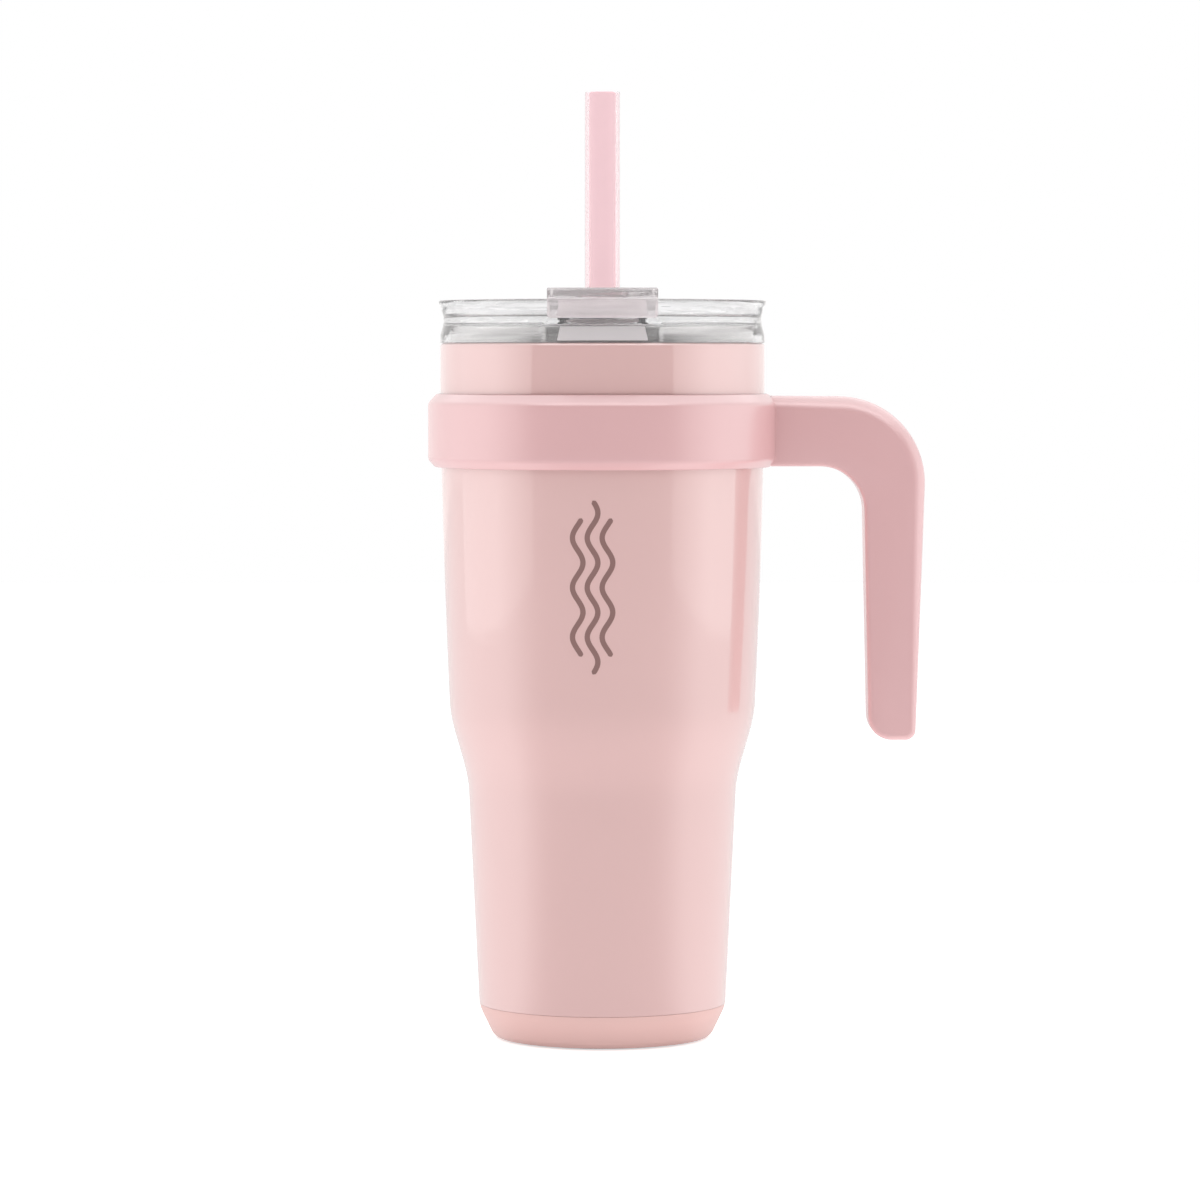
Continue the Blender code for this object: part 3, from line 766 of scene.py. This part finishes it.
def ear(side):
    """Hinge ear: a rounded tab that stands on the deck."""
    radius = 3.0 * MM
    centre = side * (EAR_IN + EAR_OUT) / 2
    foot = DECK_TOP - 0.8 * MM
    corners = [
        (HINGE.y - radius - 0.4 * MM, foot, 0.0, 0.35 * MM),
        (HINGE.y + radius + 0.4 * MM, foot, 0.0, 0.35 * MM),
        (HINGE.y + radius, HINGE.z + radius, radius * 0.98, 0.35 * MM),
        (HINGE.y - radius, HINGE.z + radius, radius * 0.98, 0.35 * MM),
    ]
    half = (EAR_OUT - EAR_IN) / 2
    return pillow(f"ear_{side}", outline(corners), half, lambda u, v, w: (centre + w, u, v))


def slot_rings():
    """The sip slot, flared where it meets both faces of the deck."""
    half_long, half_short, flare = 11.4 * MM, 4.6 * MM, 0.5 * MM
    levels = [
        (DECK_FOOT - 2 * MM, flare + 2 * MM),
        (DECK_FOOT + flare, 0.0),
        (DECK_TOP - flare, 0.0),
        (DECK_TOP + 2 * MM, flare + 2 * MM),
    ]
    return [stadium(half_long + grow, half_short + grow, SLOT_Y, z) for z, grow in levels]


def vent_rings():
    radius, flare = 1.2 * MM, 0.3 * MM
    levels = [
        (DECK_FOOT - MM, flare + MM),
        (DECK_FOOT + flare, 0.0),
        (DECK_TOP - flare, 0.0),
        (DECK_TOP + MM, flare + MM),
    ]
    return [stadium(radius + grow + 0.001 * MM, radius + grow, VENT_Y, z, 10) for z, grow in levels]


def rod(name, radius, half, chamfer):
    """A rod along X on the hinge's axis."""
    corners = [
        (0.0, -half, 0.0), (radius, -half, chamfer), (radius, half, chamfer), (0.0, half, 0.0),
    ]
    made = lathe(name, outline(corners, step=math.radians(30)), segments=48)
    made.data.transform(Matrix.Translation(HINGE) @ Matrix.Rotation(math.pi / 2, 4, "Y"))
    return made


def make_small_lid_pieces():
    pin = rod("hinge_rod", PIN_R, PIN[1].x, 0.25 * MM)
    finish_piece(pin, "lid", STEEL, "steel", "flap_hinge_pin")

    low, high = GASKET[0].z, GASKET[1].z
    outside = GASKET[1].x
    inside = outside - 1.55 * MM
    body = outside - 0.65 * MM
    middle = (low + high) / 2
    seal = lathe("lid_seal", outline([
        (body, high, 0.1 * MM),
        (outside, high - 0.8 * MM, 0.25 * MM),
        (body, middle, 0.2 * MM),
        (outside, low + 0.8 * MM, 0.25 * MM),
        (body, low, 0.1 * MM),
        (inside, low, 0.1 * MM),
        (inside, high, 0.1 * MM),
    ], step=math.radians(20)), segments=180)
    finish_piece(seal, "gasket", SILICONE, "silicone", "lid_gasket")

    bore = STRAW[1].x + 0.25 * MM
    flange = GROMMET[1].x
    neck = 6.1 * MM
    top, foot = GROMMET[1].z, GROMMET[0].z
    ring = lathe("grommet", outline([
        (bore, top, 0.5 * MM),
        (flange, top, 0.6 * MM),
        (flange, DECK_TOP + 0.15 * MM, 0.3 * MM),
        (neck, DECK_TOP + 0.15 * MM, 0.1 * MM),
        (neck, DECK_FOOT - 0.15 * MM, 0.1 * MM),
        (flange, DECK_FOOT - 0.15 * MM, 0.3 * MM),
        (flange - 0.6 * MM, foot, 0.4 * MM),
        (bore, foot, 0.4 * MM),
    ], step=math.radians(20)), segments=96)
    finish_piece(ring, "lid", SILICONE, "silicone", "straw_grommet")

    low_z, high_z = LID_FOOT + 0.5 * MM, LID_FOOT + 4.5 * MM
    wide, narrow, half = 12.8 * MM, 11.9 * MM, 0.32 * MM
    stand_off = NOTCH_R + half + 0.06 * MM

    def on_band(u, v, w):
        share = (w + (high_z - low_z) / 2) / (high_z - low_z)
        across = u * (1 + (narrow / wide - 1) * share)
        radius = stand_off + v - 0.1 * MM * share
        return (across, -math.sqrt(radius * radius - across * across), (low_z + high_z) / 2 + w)

    rest = pillow("thumb_rest", outline([
        (-wide, -half, 0.25 * MM, 0.25 * MM),
        (wide, -half, 0.25 * MM, 0.25 * MM),
        (wide, half, 0.25 * MM, 0.25 * MM),
        (-wide, half, 0.25 * MM, 0.25 * MM),
    ], 1.0 * MM), (high_z - low_z) / 2, on_band)
    finish_piece(rest, "lid", FROST, "clear_plastic")


# ---------------------------------------------------------------- flap

def make_clear_flap():
    lip_in = FLAP_R - 2.4 * MM
    back = 18.4 * MM

    def bent(s, z, x):
        """The front follows the rim's curve and the back is straight."""
        curve = smoothstep(24 * MM, 40 * MM, s)
        return (x, -(s + (math.sqrt(s * s - x * x) - s) * curve), z)

    plate = pillow("clear_flap", outline([
        (back, FLAP_TOP, 0.6 * MM, 0.45 * MM),
        (FLAP_R, FLAP_TOP, 0.9 * MM, 0.45 * MM),
        (FLAP_R, FLAP_LIP_FOOT, 1.0 * MM, 1.2 * MM),
        (lip_in, FLAP_LIP_FOOT, 0.9 * MM, 1.2 * MM),
        (lip_in, FLAP_FOOT, 0.7 * MM, 0.45 * MM),
        (back, FLAP_FOOT, 0.6 * MM, 0.45 * MM),
    ], 1.0 * MM), FLAP_HALF, bent)
    barrel_r = 2.6 * MM
    neck_half = 11.9 * MM
    top, foot = FLAP_TOP - 0.15 * MM, FLAP_FOOT + 0.15 * MM
    y = -HINGE.y
    neck = pillow("neck", outline([
        (y - 0.6 * MM, top, 1.5 * MM, 0.35 * MM),
        (y + 8 * MM, top, 0.0, 0.35 * MM),
        (y + 8 * MM, foot, 0.0, 0.35 * MM),
        (y + barrel_r * 0.98, foot, 0.8 * MM, 0.35 * MM),
        (y + barrel_r, HINGE.z - barrel_r, barrel_r * 0.97, 0.35 * MM),
        (y - barrel_r, HINGE.z - barrel_r, barrel_r * 0.97, 0.35 * MM),
        (y - barrel_r, HINGE.z + 1.6 * MM, 1.5 * MM, 0.35 * MM),
    ], step=math.radians(12)), neck_half, lambda s, z, x: (x, -s, z))
    boolean(plate, "UNION", neck)
    boolean(plate, "DIFFERENCE", rod("bore", PIN_R + 0.2 * MM, 20 * MM, 0.0))
    hide_from(plate, "shadow")
    finish_piece(plate, "flap", FLAP_CLEAR, "clear_plastic", "sip_flap")


def make_stoppers():
    top = PLUG[1].z
    foot = PLUG[0].z
    seat = DECK_TOP + GAP
    wide, deep = PLUG[1].x, (PLUG[1].y - PLUG[0].y) / 2
    levels = [
        (top, 0.5), (top - 0.15 * MM, 0.15), (top - 0.5 * MM, 0.0),
        (seat + 0.5 * MM, 0.0), (seat + 0.15 * MM, 0.15), (seat, 0.5),
        (seat - 0.02 * MM, 1.25), (seat - 1.6 * MM, 1.6), (foot + 0.6 * MM, 2.0),
        (foot + 0.2 * MM, 2.25), (foot, 2.7),
    ]
    rings = [stadium(wide - inset * MM, deep - inset * MM, SLOT_Y, z) for z, inset in levels]
    plug = bridged("sip_stopper", rings, closed=False, caps=True)
    finish_piece(plug, "flap", STOPPER, "silicone", "sip_plug")

    radius = VENT[1].x
    stopper = lathe("vent_stopper", outline([
        (0.0, VENT[1].z, 0.0),
        (radius, VENT[1].z, 0.3 * MM),
        (radius, VENT[0].z + 0.5 * MM, 0.4 * MM),
        (radius - 0.7 * MM, VENT[0].z, 0.3 * MM),
        (0.0, VENT[0].z, 0.0),
    ], step=math.radians(20)), segments=48)
    stopper.data.transform(Matrix.Translation((0.0, VENT_Y, 0.0)))
    finish_piece(stopper, "flap", STOPPER, "silicone", "vent_plug")


# ---------------------------------------------------------------- straw

def make_straw():
    radius = STRAW[1].x
    bore = radius - 1.2 * MM
    foot, top = STRAW[0].z, STRAW[1].z
    rise = 4.0 * MM
    lip = 0.4 * MM
    straw = lathe("drinking_straw", outline([
        (radius, top, lip),
        (radius, foot, 0.0),
        (bore, foot, 0.0),
        (bore, top, lip),
    ], step=math.radians(20)), segments=96)
    for vertex in straw.data.vertices:
        if vertex.co.z < foot + MM:
            vertex.co.z += rise * (vertex.co.x + radius) / (2 * radius)
    finish_piece(straw, "straw", STRAW_PLASTIC, "straw_plastic", "straw")


# ---------------------------------------------------------------- stage

def stage_plane(name, corners, material):
    mesh = bpy.data.meshes.new(name)
    mesh.from_pydata(corners, [], [range(len(corners))])
    mesh.materials.append(material)
    obj = bpy.data.objects.new(name, mesh)
    bpy.context.scene.collection.objects.link(obj)
    return obj


def softbox_top():
    light = bpy.data.lights.new("softbox_top", "AREA")
    light.size = 2.4  # metres
    light.energy = 14  # watts
    obj = bpy.data.objects.new("softbox_top", light)
    bpy.context.scene.collection.objects.link(obj)
    obj.location = (0.0, -0.6, 1.35)
    obj.rotation_euler = (obj.location - Vector((0.0, 0.0, 0.13))).to_track_quat("Z", "Y").to_euler()
    hide_from(obj, "camera", "transmission")


def softbox_side(side):
    """A tall panel of light beside the cup. Its glow rises from its front edge to its middle."""
    name = "softbox_left" if side < 0 else "softbox_right"
    material = bpy.data.materials.new(name)
    material.use_nodes = True
    nodes, links = material.node_tree.nodes, material.node_tree.links
    nodes.clear()
    out = nodes.new("ShaderNodeOutputMaterial")
    glow = nodes.new("ShaderNodeEmission")
    place = nodes.new("ShaderNodeTexCoord")
    split = nodes.new("ShaderNodeSeparateXYZ")
    ramp = nodes.new("ShaderNodeValToRGB")
    ramp.color_ramp.elements[0].color = (0.60, 0.59, 0.58, 1)
    ramp.color_ramp.elements[1].color = (1.22, 1.22, 1.22, 1)
    middle = ramp.color_ramp.elements.new(0.45)
    middle.color = (1.38, 1.37, 1.36, 1)
    links.new(place.outputs["Generated"], split.inputs["Vector"])
    links.new(split.outputs["X"], ramp.inputs["Fac"])
    links.new(ramp.outputs["Color"], glow.inputs["Color"])
    links.new(glow.outputs["Emission"], out.inputs["Surface"])
    half, low, high = 0.775, -0.1, 1.2
    corners = [(-half, 0, low), (half, 0, low), (half, 0, high), (-half, 0, high)]
    panel = stage_plane(name, corners, material)
    turn, distance = math.radians(84), 1.15
    panel.location = (side * distance * math.sin(turn), -distance * math.cos(turn), 0.0)
    panel.rotation_euler = (0.0, 0.0, math.atan2(math.sin(turn), side * math.cos(turn)))
    hide_from(panel, "camera", "transmission")


def floor_plane(name, level, grey, glow):
    """A matt horizontal plane that can also glow."""
    reach = 3.0
    material, nodes, links, shader = new_material(name, (grey, grey, grey), 0.9)
    shader.inputs["Emission Color"].default_value = (1, 1, 1, 1)
    shader.inputs["Emission Strength"].default_value = glow
    return stage_plane(name, [
        (-reach, -reach, level), (reach, -reach, level), (reach, reach, level), (-reach, reach, level),
    ], material)


def fade_to_centre(material, glow):
    """The glow falls away under the cup."""
    dark_r, bright_r = 22 * MM, 48 * MM
    nodes, links = material.node_tree.nodes, material.node_tree.links
    place = nodes.new("ShaderNodeTexCoord")
    length = nodes.new("ShaderNodeVectorMath")
    length.operation = "LENGTH"
    links.new(place.outputs["Object"], length.inputs[0])
    fade = remap(nodes, links, length.outputs["Value"], dark_r, bright_r, 0.0, glow)
    links.new(fade, nodes["Principled BSDF"].inputs["Emission Strength"])


def brighten_to_sides(material, front, side):
    """The glow in front of the cup is lower than at its sides, as with the soft panels above it."""
    nodes, links = material.node_tree.nodes, material.node_tree.links
    place = nodes.new("ShaderNodeTexCoord")
    towards = nodes.new("ShaderNodeVectorMath")
    towards.operation = "NORMALIZE"
    split = nodes.new("ShaderNodeSeparateXYZ")
    links.new(place.outputs["Object"], towards.inputs[0])
    links.new(towards.outputs["Vector"], split.inputs["Vector"])
    rise = remap(nodes, links, split.outputs["Y"], -0.80, -0.20, front, side)
    links.new(rise, nodes["Principled BSDF"].inputs["Emission Strength"])


def hide_from(obj, *rays):
    for ray in rays:
        setattr(obj, f"visible_{ray}", False)


def only_in_reflections(obj):
    hide_from(obj, "camera", "diffuse", "transmission", "shadow")


def make_stage():
    floor = floor_plane("pale_floor", -0.2 * MM, 0.90, 0.55)
    hide_from(floor, "diffuse", "glossy")
    bounce = floor_plane("bounce_card", -1.0 * MM, 0.60, 0.0)
    fade_to_centre(bounce.data.materials[0], 1.06)
    hide_from(bounce, "glossy", "camera", "transmission", "shadow")
    overhead = floor_plane("overhead_card", 1.3, 0.0, 1.75)
    overhead.scale = (0.55, 0.55, 1.0)
    overhead.location.y = 0.3
    only_in_reflections(overhead)
    gleam = floor_plane("floor_gleam", -2.0 * MM, 0.0, 0.0)
    brighten_to_sides(gleam.data.materials[0], 0.26, 0.85)
    only_in_reflections(gleam)
    softbox_side(-1)
    softbox_side(1)
    softbox_top()
    make_world()


def make_world():
    """White to the camera. It lights the back more, and clear pieces show it darker towards the front."""
    world = bpy.data.worlds.new("studio")
    bpy.context.scene.world = world
    world.use_nodes = True
    nodes, links = world.node_tree.nodes, world.node_tree.links
    nodes.clear()
    out = nodes.new("ShaderNodeOutputWorld")
    place = nodes.new("ShaderNodeTexCoord")
    split = nodes.new("ShaderNodeSeparateXYZ")
    links.new(place.outputs["Generated"], split.inputs["Vector"])

    def sky(colour, low, high, dim, bright):
        """A background whose strength rises from dim to bright between two values of Y."""
        background = nodes.new("ShaderNodeBackground")
        background.inputs["Color"].default_value = (*colour, 1)
        strength = remap(nodes, links, split.outputs["Y"], low, high, dim, bright)
        links.new(strength, background.inputs["Strength"])
        return background

    def choose(ray, otherwise, this):
        """One background for the rays of a kind, and another for the rest."""
        mix = nodes.new("ShaderNodeMixShader")
        links.new(path.outputs[ray], mix.inputs[0])
        links.new(otherwise.outputs[0], mix.inputs[1])
        links.new(this.outputs[0], mix.inputs[2])
        return mix

    seen = nodes.new("ShaderNodeBackground")
    seen.inputs["Color"].default_value = (1, 1, 1, 1)
    through = sky((1, 1, 1), -0.70, -0.42, 0.18, 1.0)
    lit = sky((1, 0.985, 0.975), -0.05, 0.5, 0.15, 1.1)
    path = nodes.new("ShaderNodeLightPath")
    behind_clear = choose("Is Transmission Ray", lit, through)
    links.new(choose("Is Camera Ray", behind_clear, seen).outputs[0], out.inputs[0])


CAMERA_PLACE = (-0.7 * MM, -1.45, 195.7 * MM)
CAMERA_TILT = 2.71  # degrees down
CAMERA_LENS = 150  # millimetres, on a 36 mm sensor


def make_camera():
    """Level with the bare wall between the collar and the lid, tilted down a little."""
    data = bpy.data.cameras.new("camera")
    data.lens = CAMERA_LENS
    data.sensor_width = 36
    data.clip_end = 50
    camera = bpy.data.objects.new("camera", data)
    bpy.context.scene.collection.objects.link(camera)
    camera.location = CAMERA_PLACE
    camera.rotation_euler = (math.radians(90 - CAMERA_TILT), 0.0, 0.0)
    bpy.context.scene.camera = camera


# ---------------------------------------------------------------- build

make_painted_wall()
make_steel_liner()
make_base_moulding()
make_foot_tread()
make_printed_mark()
make_collar_and_grip()
make_grip_band()
make_clear_lid()
make_small_lid_pieces()
make_clear_flap()
make_stoppers()
make_straw()
for node, material in (
    ("outer_base_disc", STEEL), ("vacuum_seal_bead", SOLDER), ("getter_pellet", GETTER),
):
    mesh = frame["nodes"][node].data
    mesh.materials.clear()
    mesh.materials.append(material)
make_stage()
make_camera()
bpy.context.scene.view_settings.view_transform = "Standard"

bpy.context.view_layer.update()
